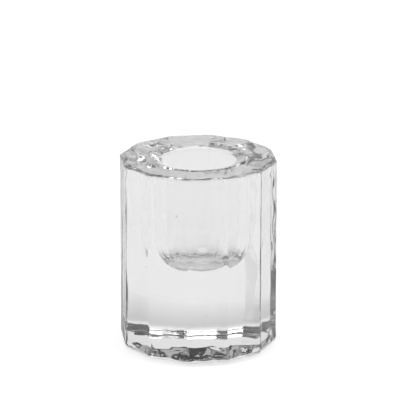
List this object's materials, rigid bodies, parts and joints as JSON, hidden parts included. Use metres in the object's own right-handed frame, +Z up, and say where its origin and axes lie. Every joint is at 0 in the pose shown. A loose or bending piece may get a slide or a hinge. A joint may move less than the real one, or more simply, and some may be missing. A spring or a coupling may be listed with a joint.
{
  "type": "dappen dish",
  "caption": "Thick clear glass dish with flat upright sides, a flat rim and a round tapered well that holds acrylic nail liquid for a brush.",
  "frame": {"origin": "centre of the foot, on the plane that its flat ring stands on", "axes": "+Z up along the well's axis, out of its mouth; a flat side faces each of +X, -X, +Y and -Y"},
  "size_m": [0.035, 0.035, 0.0443],
  "materials": {
    "clear_glass": "clear, fire-polished"
  },
  "bodies": {
    "root": {"glass_body": "clear_glass"}
  },
  "joints": []
}
